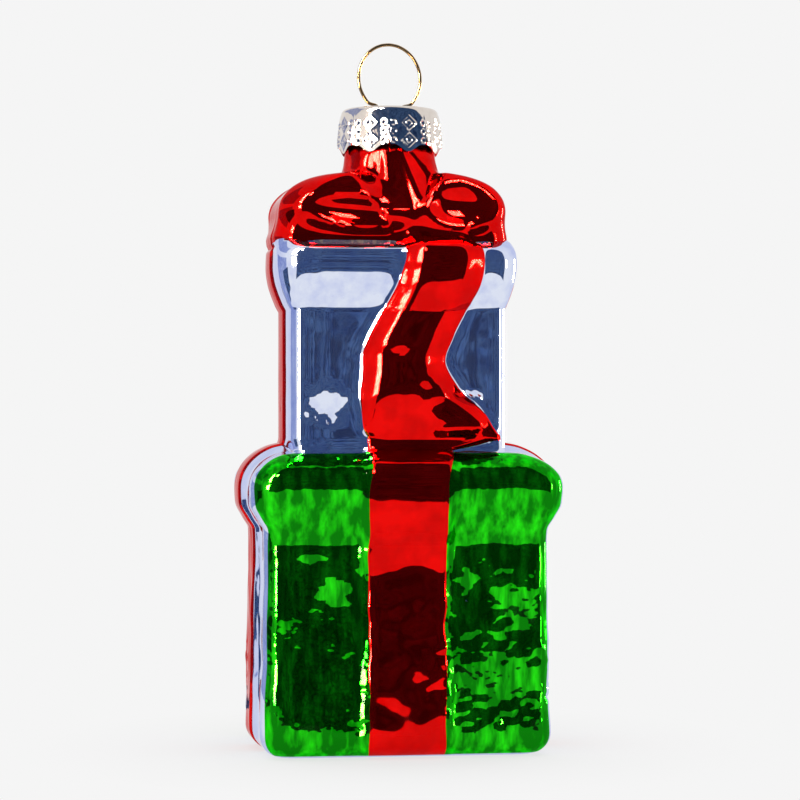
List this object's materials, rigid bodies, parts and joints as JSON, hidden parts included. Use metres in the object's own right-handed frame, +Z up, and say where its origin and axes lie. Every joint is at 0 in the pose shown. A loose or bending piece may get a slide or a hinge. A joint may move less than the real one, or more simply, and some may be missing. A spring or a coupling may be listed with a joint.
{
  "type": "gift stack ornament",
  "caption": "Hollow blown-glass tree ornament shaped as two stacked gift boxes with ribbons and a bow, with a pull-off metal cap and a wire hanging loop.",
  "frame": {"origin": "middle of the flat base that the ornament stands on", "axes": "+Z up towards the hanging loop, the front with the sweeping ribbon tail faces -Y, +X to the right seen from the front"},
  "size_m": [0.0512, 0.04, 0.1129],
  "materials": {
    "glass": "clear blown glass, mirror-bright over its silvering",
    "silvering": "chemical silvering on the inside wall",
    "red_lacquer": "translucent gloss lacquer over mirror",
    "green_lacquer": "translucent gloss lacquer over mirror",
    "cap_metal": "bright stamped sheet with an embossed lozenge border",
    "wire": "polished spring wire"
  },
  "bodies": {
    "ornament": {"glass_body": "glass", "mirror_lining": "silvering", "bow_lacquer": "red_lacquer", "front_ribbon_lacquer": "red_lacquer", "back_ribbon_lacquer": "red_lacquer", "right_ribbon_lacquer": "red_lacquer", "left_ribbon_lacquer": "red_lacquer", "green_lacquer_front_left": "green_lacquer", "green_lacquer_front_right": "green_lacquer", "green_lacquer_back_right": "green_lacquer", "green_lacquer_back_left": "green_lacquer"},
    "cap": {"crown_cap": "cap_metal"},
    "hanger": {"hanger_wire": "wire"}
  },
  "joints": [
    {"name": "cap_lift", "type": "slide", "parent": "ornament", "child": "cap", "axis": [0, 0, 1], "range_m": [0, 0.02]},
    {"name": "hanger_rock", "type": "hinge", "parent": "cap", "child": "hanger", "pos_m": [-0.0008, 0, 0.10195], "axis": [0.9563, 0.2924, 0], "range_deg": [-10, 10]}
  ]
}
